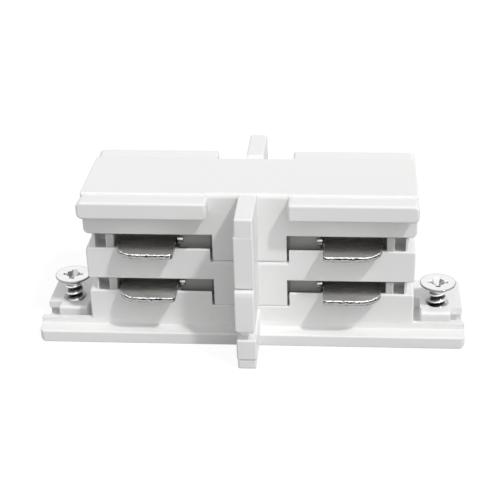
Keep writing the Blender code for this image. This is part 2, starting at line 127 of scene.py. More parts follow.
def round_over(piece, radius, wanted=lambda middle, along: True, segments=3):
    """Rounds the sharp edges that are wanted."""
    pick_sharp_edges(piece, wanted)
    bpy.ops.mesh.bevel(offset=radius * mm, segments=segments, affect="EDGES", clamp_overlap=True)
    bpy.ops.object.mode_set(mode="OBJECT")


def combine(piece, operation, others):
    """Joins other solids to a piece, or cuts them from it, and clears them away."""
    for other in others:
        select_only(piece)
        step = piece.modifiers.new(other.name, "BOOLEAN")
        step.operation = operation
        step.object = other
        bpy.ops.object.modifier_apply(modifier=step.name)
        bpy.data.objects.remove(other, do_unlink=True)


def mirror(piece):
    """Turns a piece for the front into one for the rear."""
    select_only(piece)
    piece.scale.y = -1
    bpy.ops.object.transform_apply(location=True, rotation=True, scale=True)
    work_on(piece, "FACE")
    bpy.ops.mesh.select_all(action="SELECT")
    bpy.ops.mesh.normals_make_consistent(inside=False)
    bpy.ops.object.mode_set(mode="OBJECT")
    return piece


def twin(piece):
    """A mirrored copy of a piece, for the rear."""
    select_only(piece)
    bpy.ops.object.duplicate(linked=False)
    return mirror(bpy.context.object)


def extrude_faces(piece, wanted, shift, narrower=(1, 1, 1)):
    """Extrudes the faces where wanted(middle, normal) holds, and can narrow their far end."""
    work_on(piece, "FACE")
    bpy.ops.object.mode_set(mode="OBJECT")
    for face in piece.data.polygons:
        face.select = wanted(face.center / mm, face.normal)
    bpy.ops.object.mode_set(mode="EDIT")
    bpy.ops.mesh.extrude_region_move(TRANSFORM_OT_translate={"value": Vector(shift) * mm})
    bpy.ops.transform.resize(value=narrower)
    bpy.ops.object.mode_set(mode="OBJECT")


base = block("base_moulding", (-half_foot, half_foot), (-foot_edge, foot_edge), (0, foot_face_top))
faces_up = lambda middle, normal: normal.z > 0.9999
rail_share = (half_body + hairline) / foot_edge
extrude_faces(base, faces_up, (0, 0, ledge_top - foot_face_top), (1, rail_share, 1))
extrude_faces(base, faces_up, (0, 0, rail_top - ledge_top))


def foot_corner(middle, along):
    """The upright and the lowest edges at the ends of the foot plate."""
    low_or_upright = middle.z < flush or runs(along, "z")
    return abs(middle.x) > half_foot - flush and middle.z < foot_face_top and low_or_upright


def foot_side(middle, along):
    """The long edges of the foot plate, below its ledge."""
    return abs(middle.y) > foot_edge - corner_round and middle.z < ledge_top


round_over(base, corner_round, foot_corner, segments=5)
round_over(base, foot_round, foot_side, segments=4)
round_over(base, edge_round, lambda middle, along: abs(middle.x) > half_foot - flush)

trench_floor = 1.2
trench_front = 6.95
pad_front = 2.3
pit_end = half_wall + 1.5
pit_rear = 1.5
end_notch = 2.2
notch_back = -1.2
notch_floor = 0.5
notch_height = 1.85
above_rail = rail_top + beyond
for end in (-1, 1):
    across = one_side(end, half_wall, half_foot + beyond)
    trench = block("trench", across, (-trench_front, -pad_front), (trench_floor, above_rail))
    across = one_side(end, half_wall, pit_end)
    pit = block("pit", across, (-trench_front + flush, pit_rear), (trench_floor + flush, above_rail))
    round_over(pit, edge_round, lambda middle, along: middle.z < rail_top)
    across = one_side(end, half_foot - end_notch, half_foot + beyond)
    tall = (notch_floor, notch_floor + notch_height)
    notch = block("notch", across, (-pad_front - flush, notch_back), tall)
    combine(base, "DIFFERENCE", (trench, pit, notch))
trench_rim = lambda middle, along: middle.z > rail_top - flush and middle.y < pit_rear + flush
round_over(base, fine_round, trench_rim, segments=2)

boss_front = 4.4
boss_width = 5.3
boss_top = rail_top + 0.2
boss_round = 0.6
for end in (-1, 1):
    across = one_side(end, pit_end, pit_end + boss_width)
    deep = (-boss_front, pad_front - boss_front)
    boss = block("boss", across, deep, (trench_floor - beyond / 2, boss_top))
    top_front = lambda middle, along: middle.y < -boss_front + flush and middle.z > boss_top - flush
    round_over(boss, boss_round, top_front, segments=5)
    round_over(boss, edge_round, lambda middle, along: middle.y < 0 and middle.z > trench_floor)
    combine(base, "UNION", (boss,))

lower_floor = 9.3
seat_half_width = 6.8
seat_back = 6.3
lower_seat = 6.75
pocket_start = 12.3
pocket_end = 23.5
wall_thickness = 0.65
sill_thickness = 0.35
groove_back = 5.9
groove_depth = 1.2
pocket_depth = 1.4
tunnel_cover = 0.3
rib_side = 2.7
channel_outer = 5.5
seat_round = 0.6


def cut_seats(piece, low, high):
    """Cuts what lies below a slot's floor: the recesses that take the column walls, a groove behind each
    sill, the pockets under the tabs and the tunnel that the strip's bar runs through."""
    floor = high - beyond
    between_pockets = (-pocket_start - flush, pocket_start + flush)
    for side in (-1, 1):
        deep = one_side(side, seat_back, half_body + beyond)
        seat = block("column_seat", (-seat_half_width, seat_half_width), deep, (low, high))
        deep = one_side(side, groove_back, half_body - sill_thickness)
        groove = block("groove", between_pockets, deep, (floor - groove_depth, high))
        deep = one_side(side, rib_side + flush, channel_outer)
        tunnel = block("tunnel", between_pockets, deep, (floor - pocket_depth, floor - tunnel_cover))
        combine(piece, "DIFFERENCE", (seat, groove, tunnel))
        for end in (-1, 1):
            across = one_side(end, pocket_start, pocket_end)
            deep = one_side(side, rib_side - flush, half_body - wall_thickness)
            pocket = block("pocket", across, deep, (floor - pocket_depth, high))
            combine(piece, "DIFFERENCE", (pocket,))
    at_seat = lambda middle: abs(abs(middle.x) - seat_half_width) < flush and abs(middle.y) > seat_back
    sill_corner = lambda middle, along: at_seat(middle) and runs(along, "y") and middle.z > floor - flush
    round_over(piece, seat_round, sill_corner, segments=5)


def lying_bar(name, radius, length, centre, sides):
    """A round bar that lies along X."""
    bpy.ops.object.select_all(action="DESELECT")
    bpy.ops.mesh.primitive_cylinder_add(
        vertices=sides,
        radius=radius * mm,
        depth=length * mm,
        location=[place * mm for place in centre],
        rotation=(0, math.radians(90), 0),
    )
    return new_piece(name)


def cut_edge(piece, radius, half_span, top, bar_length=20):
    """Rounds the middle part of the long top edges at the front and rear of a wall."""
    for side in (-1, 1):
        centre = half_body - radius
        deep = one_side(side, centre, half_body + beyond)
        cut = block("edge_cut", (-half_span, half_span), deep, (top - radius, top + beyond))
        axis = (0, side * centre, top - radius)
        rounding = lying_bar("edge_rounding", radius, bar_length, axis, sides=64)
        combine(cut, "DIFFERENCE", (rounding,))
        combine(piece, "DIFFERENCE", (cut,))


wall_end_round = 0.5
wall_round = 0.3
lower_edge_round = 0.4
rail_round = 0.25


def soften_wall(piece, low):
    """Rounds the end corners of a wall of the stack, and then all the edges above a height."""
    at_end = lambda middle: abs(middle.x) > half_wall - flush and middle.z > low
    round_over(piece, wall_end_round, lambda middle, along: at_end(middle) and runs(along, "y"), segments=5)
    round_over(piece, wall_round, lambda middle, along: middle.z > low, segments=4)


tall = (trench_floor - beyond / 2, lower_floor)
stack_wall = block("lowest_wall", (-half_wall, half_wall), (-half_body, half_body), tall)
soften_wall(stack_wall, trench_floor)
cut_seats(stack_wall, lower_seat, lower_floor + beyond)
cut_edge(stack_wall, lower_edge_round, seat_half_width - flush, lower_seat)
combine(base, "UNION", (stack_wall,))


def rail_edge(middle, along):
    """The long edges on top of the rails, beside the pads."""
    beside_pad = abs(middle.x) > half_wall and abs(middle.y) > half_body
    return beside_pad and runs(along, "x") and middle.z > rail_top - flush


round_over(base, rail_round, rail_edge)

core_end = half_wall - 1.2
niche_end = core_end - 0.4
niche_start = niche_end - 2.1
niche_back = 3.6
niche_front = 7.53
niche_sink = 0.5
niche_round = 0.3
post_face = 7.45
post_round = 0.2


def slot_core(piece, floor, top):
    """Adds what stands in a slot: the middle rib and the end posts with their niches."""
    root = floor - beyond
    rib = block("slot_rib", (-core_end + flush, core_end - flush), (-rib_side, rib_side), (root + flush, top))
    for end in (-1, 1):
        across = one_side(end, pocket_end - flush, core_end)
        posts = block("end_posts", across, (-post_face, post_face), (root, top))
        round_over(posts, post_round, lambda middle, along: runs(along, "z"))
        combine(rib, "UNION", (posts,))
    combine(piece, "UNION", (rib,))
    for end in (-1, 1):
        for side in (-1, 1):
            across = one_side(end, niche_start, niche_end)
            deep = one_side(side, niche_back, niche_front)
            niche = block("niche", across, deep, (floor - niche_sink, top + beyond))
            round_over(niche, niche_round, lambda middle, along: middle.z < top)
            combine(piece, "DIFFERENCE", (niche,))


slot_gap = 0.2
lower_slot_top = 11.7
slot_core(base, lower_floor, lower_slot_top - slot_gap)

column_skin = 1.3
fin_root = half_body - column_skin / 2
fin_half = 1.55
fin_reach = 18.1
fin_round = 0.3
neck_reach = fin_reach - 1.6
neck_half = 1.2
neck_round = 0.1
heel_half = fin_half + 0.15
heel_reach = fin_reach + 0.2
heel_foot = 1.9
heel_top = 5.85
heel_round = 0.35


def fin_pair(piece, name, half, reach, tall, rounding=fin_round):
    """Adds one plate of the fin at the front, with rounded edges, and its twin at the rear."""
    plate = block(name, (-half, half), (-reach, -fin_root), tall)
    round_over(plate, rounding, lambda middle, along: middle.y < -fin_root - flush)
    combine(piece, "UNION", (twin(plate), plate))


fin_pair(base, "toe", fin_half, fin_reach, (flush, heel_top - fin_round))
fin_pair(base, "heel", heel_half, heel_reach, (heel_foot, heel_top), heel_round)
fin_pair(base, "neck", neck_half, neck_reach, (heel_foot, lower_seat), neck_round)


def round_bar(name, x, radius, tall, top_radius=None, sides=48):
    """An upright round cutter or shank, straight or tapered towards its top."""
    bpy.ops.object.select_all(action="DESELECT")
    bpy.ops.mesh.primitive_cone_add(
        vertices=sides,
        radius1=radius * mm,
        radius2=(radius if top_radius is None else top_radius) * mm,
        depth=(tall[1] - tall[0]) * mm,
        location=(x * mm, 0, (tall[0] + tall[1]) / 2 * mm),
        rotation=(0, 0, math.radians(180 / sides)),
    )
    return new_piece(name)


clamp_x = half_wall + 4.6
clamp_hole = 1.65
sink_rim = 2.55
sink_depth = 0.45
assembly_x = half_wall - 11.4
assembly_hole = 1.3
head_hole = 2.5
head_seat = 2.4
earth_end = half_foot - 2.4
earth_side = 3.5
earth_depth = 0.75
for end in (-1, 1):
    hole = round_bar("clamp_hole", end * clamp_x, clamp_hole, (-beyond, rail_top + beyond / 2))
    tall = (rail_top - sink_depth, rail_top + sink_depth)
    sink = round_bar("clamp_sink", end * clamp_x, clamp_hole, tall, sink_rim)
    through = round_bar("assembly_hole", end * assembly_x, assembly_hole, (-beyond, lower_slot_top + beyond))
    head_room = round_bar("head_room", end * assembly_x, head_hole, (-beyond, head_seat))
    combine(base, "DIFFERENCE", (hole, sink, through, head_room))
channel = block("earth_channel", (-earth_end, earth_end), (-earth_side, earth_side), (-beyond, earth_depth))
combine(base, "DIFFERENCE", (channel,))


def smooth_off(piece, merge_distance=0.001, crease_angle=35):
    """Closes hairline gaps, and shades a piece smooth with its flat faces flat and its hard edges crisp."""
    work_on(piece, "VERT")
    bpy.ops.mesh.select_all(action="SELECT")
    bpy.ops.mesh.remove_doubles(threshold=merge_distance * mm)
    bpy.ops.mesh.dissolve_degenerate(threshold=merge_distance * mm)
    bpy.ops.mesh.fill_holes(sides=8)
    bpy.ops.object.mode_set(mode="OBJECT")
    bpy.ops.object.shade_smooth_by_angle(angle=math.radians(crease_angle))
    step = piece.modifiers.new("even_shading", "WEIGHTED_NORMAL")
    step.keep_sharp = True
    bpy.ops.object.modifier_apply(modifier=step.name)


smooth_off(base)


class Signal:
    """An output socket in a finish. Arithmetic on it adds Math nodes."""

    def __init__(self, finish, output):
        self.finish = finish
        self.output = output

    def math(self, operation, first, second):
        return self.finish.node("ShaderNodeMath", {"operation": operation}, {0: first, 1: second})

    def __add__(self, other):
        return self.math("ADD", self, other)

    def __radd__(self, other):
        return self.math("ADD", other, self)

    def __sub__(self, other):
        return self.math("SUBTRACT", self, other)

    def __rsub__(self, other):
        return self.math("SUBTRACT", other, self)

    def __mul__(self, other):
        return self.math("MULTIPLY", self, other)

    def __rmul__(self, other):
        return self.math("MULTIPLY", other, self)

    def __pow__(self, other):
        return self.math("POWER", self, other)

    def __gt__(self, other):
        return self.math("GREATER_THAN", self, other)


class Finish:
    """A material, or the world, and the nodes that feed its surface."""

    def __init__(self, name, kind="materials"):
        self.material = getattr(bpy.data, kind).new(name)
        self.material.use_nodes = True
        self.tree = self.material.node_tree
        self.surface = self.tree.nodes.get("Principled BSDF")
        self.place = self.node("ShaderNodeTexCoord", {}, {}, "Object")

    def feed(self, socket, value):
        if isinstance(value, Signal):
            self.tree.links.new(value.output, socket)
        else:
            socket.default_value = value

    def node(self, kind, settings, values, output=0):
        made = self.tree.nodes.new(kind)
        for name, setting in settings.items():
            if name == "stops":
                stops = made.color_ramp.elements
                for place, level in setting[1:-1]:
                    stops.new(place).color = (level, level, level, 1)
                ends = ((stops[0], setting[0]), (stops[len(setting) - 1], setting[-1]))
                for stop, (place, level) in ends:
                    stop.position = place
                    stop.color = (level, level, level, 1)
            else:
                setattr(made, name, setting)
        for socket, value in values.items():
            self.feed(made.inputs[socket], value)
        return Signal(self, made.outputs[output])

    def set(self, **values):
        for name, value in values.items():
            self.feed(self.surface.inputs[name.replace("_", " ")], value)

    def axis(self, name):
        """The place along X, Y or Z in millimetres."""
        return self.node("ShaderNodeSeparateXYZ", {}, {"Vector": self.place}, name) * (1 / mm)

    def blend(self, amount, low, high):
        """A colour between two others, or between two grey levels."""
        low, high = ((level, level, level) if isinstance(level, float) else level for level in (low, high))
        low, high = ((*level, 1) if isinstance(level, tuple) else level for level in (low, high))
        return self.node("ShaderNodeMix", {"data_type": "RGBA"}, {0: amount, 6: low, 7: high}, 2)

    def noise(self, grain, detail=2.0, stretch=(1, 1, 1)):
        """Noise whose grain is so many millimetres across."""
        scaled = self.node("ShaderNodeMapping", {}, {"Vector": self.place, "Scale": stretch})
        values = {"Vector": scaled, "Scale": 1 / (grain * mm), "Detail": detail}
        return self.node("ShaderNodeTexNoise", {}, values)

    def relief(self, strength, height, depth=0.02):
        """A bump that is so many millimetres deep at full strength."""
        values = {"Strength": strength, "Distance": depth * mm, "Height": height}
        return self.node("ShaderNodeBump", {}, values)


def between(value, low, high):
    """1 where a signal lies between two values, and 0 elsewhere."""
    return (value > low) * (1 - (value > high))


upper_floor = 17.65
upper_slot_top = 20.3
# Painted shade inside the slots and in the gaps beside the column walls: where it lies and how dark it is in
# each place.
painted_shade_sink = 1.3
painted_shade_end = 27.0
painted_shade_face = 7.6
gap_side = (6.3, 6.9)
gap_height = (5.0, 24.0)
gap_face = 7.75
painted_shade_beside_column = 0.78
painted_shade_at_tabs = 0.44
painted_shade_in_niches = 0.14
painted_shade_in_gaps = 0.6


def painted_shade_places(finish):
    """How dark the painted shade is in each place: darkest beside the column, less at the tabs, least in the
    niches, and also in the gaps beside the column walls.
    """
    across = finish.axis("X") ** 2
    deep = finish.axis("Y") ** 2
    height = finish.axis("Z")
    in_lower = between(height, lower_floor - painted_shade_sink, lower_slot_top + flush)
    in_upper = between(height, upper_floor - painted_shade_sink, upper_slot_top + flush)
    in_slot = (in_lower + in_upper) * (1 - (across > painted_shade_end**2)) * (1 - (deep > painted_shade_face**2))
    beside_column = 1 - (across > pocket_start**2)
    in_niche = across > (niche_start - flush) ** 2
    # Painted shade in the narrow gaps between the column walls and their seats.
    column_gap = between(across, *(side**2 for side in gap_side)) * (1 - (deep > gap_face**2))
    column_gap = column_gap * between(height, *gap_height)
    more = (painted_shade_beside_column - painted_shade_at_tabs) * beside_column
    less = (painted_shade_at_tabs - painted_shade_in_niches) * in_niche
    return in_slot * (painted_shade_at_tabs + more - less) + column_gap * painted_shade_in_gaps


def moulded_white(name):
    """Glossy white ABS with a faint flow pattern, a fine moulded grain and a few specks of dirt.
    Shade is painted into its colour inside the slots and in the gaps beside the column walls, where little
    light reaches."""
    finish = Finish(name)
    clean = (0.86, 0.86, 0.855)
    dust_and_shade = (0.2, 0.19, 0.18)
    flow_shade = 0.985
    speck_spacing = 3.2
    speck_size = 0.022
    speck_cover = 0.55
    flow = finish.noise(grain=6.0, detail=3.0)
    tone = finish.blend(flow, tuple(level * flow_shade for level in clean), clean)
    spots = {"Vector": finish.place, "Scale": 1 / (speck_spacing * mm)}
    speck = 1 - (finish.node("ShaderNodeTexVoronoi", {}, spots) > speck_size)
    # The dirt specks and the painted shade in the slots and column gaps both darken the white towards the
    # same dark colour.
    specked_and_shaded = finish.blend(speck * speck_cover + painted_shade_places(finish), tone, dust_and_shade)
    relief = finish.relief(0.05, finish.noise(grain=0.25) + flow * 0.6)
    finish.set(Base_Color=specked_and_shaded, Roughness=0.3 + 0.08 * flow, Normal=relief, IOR=1.5)
    return finish.material


def dress(piece, material, body, node):
    """Gives a piece its material and its body, and hides the CAD solid that it stands for."""
    piece.data.materials.clear()
    piece.data.materials.append(material)
    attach(piece, body)
    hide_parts(node)


dress(base, moulded_white("base_white"), "connector", "base_body")

# Middle layer. The tray between the slots, also white. Its column walls hang down over the base body, its
# core carries the upper strips, and its fins are the longest of the three.
middle_floor = lower_slot_top
upper_seat = 15.55
joint_line = 0.04
lower_skin_foot = lower_seat + joint_line
skin_half_width = 6.42
skin_lift = 0.02
skin_round = 0.3
core_side = rib_side + 0.2
skirt_side = rib_side + 0.3
skirt_face = 6.3
skirt_gap = 0.15
skirt_drop = 0.5
upper_edge_round = 0.9


def column_walls(piece, low, high, floor):
    """Adds the column's core, the skirts that back the slot below, and the column's front and rear walls,
    which hang over the moulding below."""
    skirt_end = pocket_start - skirt_gap
    core_half = skin_half_width - flush
    hanging = lambda middle, along: middle.z < high - flush
    for side in (-1, 1):
        deep = one_side(side, half_body + skin_lift, half_body - column_skin)
        skin = block("column_wall", (-skin_half_width, skin_half_width), deep, (low, high))
        round_over(skin, skin_round, lambda middle, along: runs(along, "z"), segments=4)
        round_over(skin, fine_round, hanging, segments=2)
        deep = one_side(side, core_side, half_body - beyond)
        core = block("column_core", (-core_half, core_half), deep, (floor + joint_line, high - flush))
        deep = one_side(side, skirt_face, skirt_side)
        skirt = block("skirt", (-skirt_end, skirt_end), deep, (floor + skirt_gap, high - flush))
        round_over(skirt, fine_round, hanging, segments=2)
        across = (flush - skirt_end, skirt_end - flush)
        deep = one_side(side, skirt_face + hairline, groove_back + flush)
        blade = block("skirt_blade", across, deep, (floor - skirt_drop, high - 2 * flush))
        combine(piece, "UNION", (core, skirt, blade, skin))


tall = (middle_floor, upper_floor)
middle = block("middle_moulding", (-half_wall, half_wall), (-half_body, half_body), tall)
soften_wall(middle, 0)
cut_seats(middle, upper_seat, upper_floor + beyond)
cut_edge(middle, upper_edge_round, seat_half_width - flush, upper_seat)
column_walls(middle, lower_skin_foot, upper_seat - beyond, lower_floor)
slot_core(middle, upper_floor, upper_slot_top - slot_gap)


def slice_through(piece, place, normal):
    """Adds a loop of edges where a plane passes through a piece."""
    work_on(piece, "FACE")
    bpy.ops.mesh.select_all(action="SELECT")
    bpy.ops.mesh.bisect(plane_co=[value * mm for value in place], plane_no=normal)
    bpy.ops.object.mode_set(mode="OBJECT")


middle_fin_left = fin_half + 0.25
middle_fin_reach = fin_reach + 0.9
middle_fin_foot = 7.7
middle_fin_top = upper_seat - 2 * flush
chamfer_height = 1.2
chamfer_depth = 0.35
middle_foot_round = 0.7
deep = (-middle_fin_reach, -fin_root)
middle_fin = block("middle_fin", (-middle_fin_left, fin_half), deep, (middle_fin_foot, middle_fin_top))
slice_through(middle_fin, (0, 0, middle_fin_top - chamfer_height), (0, 0, 1))
for point in middle_fin.data.vertices:
    if point.co.z > (middle_fin_top - flush) * mm and point.co.y < -fin_reach * mm:
        point.co.y += chamfer_depth * mm
foot_edges = lambda spot, along: runs(along, "y") and spot.z < middle_fin_foot + flush
round_over(middle_fin, middle_foot_round, foot_edges, segments=6)
round_over(middle_fin, fin_round, lambda spot, along: spot.y < -fin_root - flush)
combine(middle, "UNION", (twin(middle_fin), middle_fin))
tall = (lower_skin_foot + flush, middle_fin_foot + beyond)
fin_pair(middle, "upper_neck", neck_half, neck_reach, tall, neck_round)
for end in (-1, 1):
    through = round_bar("assembly_hole", end * assembly_x, assembly_hole, (0, upper_slot_top + beyond))
    combine(middle, "DIFFERENCE", (through,))
smooth_off(middle)
dress(middle, moulded_white("middle_white"), "connector", "middle_layer")

# Top cover. A flat white lid with a lip along both sides of each half. The middle of it comes down as the
# upper part of the column, and carries the upper fins.
half_cover = (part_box("top_cover")[1] / mm).x
lip_foot = 24.75
lip_top = 27.95
lip_edge = half_body + 3.7
lip_overhang = 0.12
lip_corner = 1.0
lip_round = 0.5
lip_dip = {-1: 0.3, 1: 0.55}
panel_top = lip_top + 0.15
panel_round = 0.4
cover_joint = upper_seat + joint_line

tall = (upper_slot_top, panel_top)
cover = block("cover_moulding", (-half_cover, half_cover), (-half_body, half_body), tall)
lower_end = lambda middle, along: runs(along, "y") and middle.z < lip_foot
round_over(cover, lip_corner, lower_end, segments=6)
round_over(cover, panel_round, lambda middle, along: runs(along, "x") and middle.z > lip_top, segments=6)
round_over(cover, wall_round, segments=4)
cut_edge(cover, upper_edge_round, seat_half_width, panel_top)


def lip_end(middle, along):
    """The edges at a lip's outer end, apart from the top one."""
    return runs(along, "y") and abs(middle.x) > half_cover and middle.z < lip_top - flush


for side in (-1, 1):
    dip_at_root = lip_dip[side] * (lip_edge - half_body + beyond) / (lip_edge - half_body)
    for end in (-1, 1):
        across = one_side(end, seat_half_width, half_cover + lip_overhang)
        deep = one_side(side, half_body - beyond, lip_edge)
        lip = block("lip", across, deep, (lip_foot, lip_top))
        for point in lip.data.vertices:
            if point.co.z > (lip_top - flush) * mm and abs(point.co.y) < half_body * mm:
                point.co.z -= dip_at_root * mm
        round_over(lip, lip_corner, lip_end, segments=6)
        round_over(lip, lip_round, lambda middle, along: abs(middle.y) > half_body + flush, segments=5)
        combine(cover, "UNION", (lip,))
column_walls(cover, cover_joint, lip_foot, upper_floor)

fin_top = panel_top + 0.25
ramp_start = half_body + 0.6
ramp_drop = 1.6
upper_fin = block("upper_fin", (-fin_half, fin_half), (-fin_reach, -fin_root), (cover_joint, fin_top))
slice_through(upper_fin, (0, -ramp_start, 0), (0, 1, 0))
for point in upper_fin.data.vertices:
    if point.co.z > (fin_top - flush) * mm and point.co.y > -(ramp_start - flush) * mm:
        point.co.z -= ramp_drop * mm
round_over(upper_fin, fin_round, lambda spot, along: spot.y < -half_body)
swelling_left = fin_half + 0.25
swelling_top = 25.2
swelling_foot_round = 0.55
deep = (-fin_reach - flush, -fin_root)
swelling = block("fin_swelling", (-swelling_left, fin_half + flush), deep, (cover_joint, swelling_top))
foot_edges = lambda spot, along: runs(along, "y") and spot.z < cover_joint + flush
round_over(swelling, swelling_foot_round, foot_edges, segments=6)
round_over(swelling, fin_round, lambda spot, along: spot.y < -fin_root - flush, segments=4)
combine(upper_fin, "UNION", (swelling,))
combine(cover, "UNION", (twin(upper_fin), upper_fin))
pilot_depth = 4.4
for end in (-1, 1):
    tall = (upper_slot_top - beyond, upper_slot_top + pilot_depth)
    pilot = round_bar("pilot_hole", end * assembly_x, assembly_hole, tall)
    combine(cover, "DIFFERENCE", (pilot,))
smooth_off(cover)
dress(cover, moulded_white("cover_white"), "connector", "top_cover")

# Contact strips. Four conductors stamped from plated sheet, one at the front and one at the rear of each
# slot. A bar passes behind the column, and a rounded tab at each end reaches out to the track's conductors.
strip_thickness = 0.9
strip_lift = 0.25
bar_inner = rib_side + 0.2
bar_outer = channel_outer - 0.2
bar_drop = 1.35
tab_start = pocket_start + 0.4
tab_end = pocket_end - 0.8
tab_reach = half_body + 4.5
tab_sweep = 3.8
tab_corner = 0.8
burr_round = 0.16
sheet_round = 0.08
bar_end = tab_start + 1.0
overlap = 0.1
riser_width = 0.9
ear_start = tab_start - 1.1
ear_end = tab_start - 0.3
ear_root = bar_outer - 0.4
ear_reach = bar_outer + 1.15
roll_radius = 0.45
roll_length = 1.0
roll_x = tab_start - 0.7
roll_reach = bar_outer + 1.2
roll_lift = 0.2
roll_round = 0.1


def plated_sheet(name, low):
    """Dull plated sheet, with grey torn bands from stamping along its edges, and a painted highlight along
    the rounded top arris with a dark line below it.
    """
    finish = Finish(name)
    drawn = finish.noise(grain=0.3, detail=4.0, stretch=(0.08, 1, 1))
    cloud = finish.noise(grain=2.5, detail=3.0)
    nicks = finish.noise(grain=0.5, detail=4.0)
    height = (finish.axis("Z") - low) * (1 / strip_thickness)
    # Grey levels up the sheet's edge: dark at the foot, a grey torn band, a dark line, then a painted
    # highlight where the rounded top arris catches the light.
    bands = (
        (0.0, 0.06),
        (0.08, 0.34),
        (0.5, 0.48),
        (0.56, 0.02),
        (0.78, 0.02),
        (0.84, 0.98),
        (0.94, 0.98),
        (0.99, 0.3),
    )
    nick_depth = 0.8
    torn_height = height + nicks * nick_depth - nick_depth / 2
    edge = finish.node("ShaderNodeValToRGB", {"stops": bands}, {0: torn_height})
    face = finish.blend(cloud, (0.42, 0.415, 0.405), (0.6, 0.595, 0.58))
    tone = finish.blend(between(height, 0.01, 0.99), face, edge)
    relief = finish.relief(0.08, drawn + cloud)
    finish.set(Base_Color=tone, Metallic=1.0, Roughness=0.2 + 0.12 * drawn, Normal=relief)
    return finish.material


def add_tab(strip, end, low, top):
    """Adds one end of a strip: the tab, the riser that joins it to the bar, and the rolled ear beside it."""
    tab = block("tab", one_side(end, tab_start, tab_end), (-tab_reach, -bar_inner), (low, top))
    tip = lambda spot, along: runs(along, "z") and spot.y < flush - tab_reach
    outer_tip = lambda spot, along: tip(spot, along) and abs(spot.x) > tab_end - flush
    inner_tip = lambda spot, along: tip(spot, along) and abs(spot.x) < tab_start + flush
    round_over(tab, tab_sweep, outer_tip, segments=12)
    round_over(tab, tab_corner, inner_tip, segments=6)
    round_over(tab, burr_round, lambda spot, along: spot.z > top - flush and spot.y < -bar_outer, segments=4)
    round_over(tab, sheet_round, segments=2)
    across = one_side(end, tab_start + overlap, tab_start + riser_width)
    tall = (low - bar_drop + overlap, top - overlap)
    riser = block("riser", across, (flush - bar_outer, -flush - bar_inner), tall)
    across = one_side(end, ear_start, ear_end)
    ear = block("ear", across, (-ear_reach, -ear_root), (low + overlap, top - overlap))
    centre = (end * roll_x, -roll_reach, top + roll_lift)
    roll = lying_bar("ear_roll", roll_radius, roll_length, centre, sides=20)
    round_over(roll, roll_round, segments=2)
    combine(strip, "UNION", (riser, tab, ear, roll))


def contact_strip(name, floor, side, node):
    """One strip in its slot: the bar, and a tab at each end."""
    low = floor + strip_lift
    top = low + strip_thickness
    strip = block(name, (-bar_end, bar_end), (-bar_outer, -bar_inner), (low - bar_drop, top - bar_drop))
    round_over(strip, sheet_round, segments=2)
    for end in (-1, 1):
        add_tab(strip, end, low, top)
    if side > 0:
        mirror(strip)
    smooth_off(strip)
    dress(strip, plated_sheet(f"{name}_plating", low), "connector", node)


for level, floor in (("lower", lower_floor), ("upper", upper_floor)):
    for place, side in (("front", -1), ("rear", 1)):
        contact_strip(f"{place}_{level}_strip", floor, side, f"contact_strip_{place}_{level}")

# Clamp screws. Two bright plated countersunk machine screws, turned down through the foot plate against
# the track. Each has a cross recess and a coarse thread, and stands partly unscrewed.
screw_head = 3.2
head_rim = 0.35
head_cone = 1.6
screw_length = 6.6
screw_thread = {"crest": 1.6, "root": 1.2, "pitch": 1.4, "point": 1.3}
screw_cross = {"span": 2.5, "width": 0.58, "depth": 1.4}
rim_round = 0.08
rim_bevel = 0.12
shank_top = -head_rim - head_cone * 0.6


def plated_screw(name, x, top):
    """Bright plating, with painted shade in the thread's roots, in the cross recess and on the rim of the
    head.
    """
    finish = Finish(name)
    patch = finish.noise(grain=0.9, detail=3.0)
    across = finish.axis("X") - x
    deep = finish.axis("Y")
    radius = (across * across + deep * deep) ** 0.5
    depth = top - finish.axis("Z")
    ramp_reach = 2.0
    # Darker towards the thread's roots: painted shade where the crests hide the roots from the light.
    thread = ((1.1, 0.02), (1.28, 0.05), (1.45, 0.3), (1.6, 0.95))
    rim_width = 0.14
    face_depth = 0.06
    recess_depth = 1.6
    recess_radius = 2.2
    cone_depth = head_rim + 0.9
    stops = [(place / ramp_reach, level) for place, level in thread]
    shank = finish.node("ShaderNodeValToRGB", {"stops": stops}, {0: radius * (1 / ramp_reach)})
    # A painted dark ring of shade round the rim of the head, and painted shade in the cross recess.
    rim = (radius > screw_head - rim_width) * (1 - (depth > head_rim))
    recess = between(depth, face_depth, recess_depth) * (1 - (radius > recess_radius))
    worn = finish.blend(finish.noise(grain=1.4, detail=3.0), 0.66, 0.8)
    head = finish.blend(rim * 0.6 + recess * 0.36, worn, 0.05)
    tone = finish.blend(depth > cone_depth, head, shank)
    finish.set(Base_Color=tone, Metallic=1.0, Roughness=0.1 + 0.2 * patch, Normal=finish.relief(0.2, patch))
    return finish.material


def threaded_shank(low, high, crest, root, pitch, point):
    """A round bar whose rings of points are moved in and out to a thread's helix, and in to a point below."""
    sides = 40
    rings_per_turn = 14
    ridge_half = 0.36
    crest_share = 1.15
    blunt_end = 0.15
    bpy.ops.object.select_all(action="DESELECT")
    bpy.ops.mesh.primitive_cylinder_add(
        vertices=sides,
        radius=crest * mm,
        depth=(high - low) * mm,
        location=(0, 0, (low + high) / 2 * mm),
    )
    made = new_piece("shank")
    pick_sharp_edges(made, lambda spot, along: runs(along, "z"), sharpness=1)
    bpy.ops.mesh.subdivide(number_cuts=int((high - low) / pitch * rings_per_turn))
    bpy.ops.object.mode_set(mode="OBJECT")
    for vertex in made.data.vertices:
        spot = vertex.co / mm
        turn = math.atan2(spot.y, spot.x) / (2 * math.pi)
        phase = ((spot.z - low) / pitch - turn) % 1
        ridge = max(0.0, 1 - abs(phase - 0.5) / ridge_half)
        radius = root + (crest - root) * min(1.0, ridge * crest_share)
        fade = min(1.0, max(blunt_end, (spot.z - low) / point))
        scale = radius * fade / crest
        vertex.co.x *= scale
        vertex.co.y *= scale
    return made


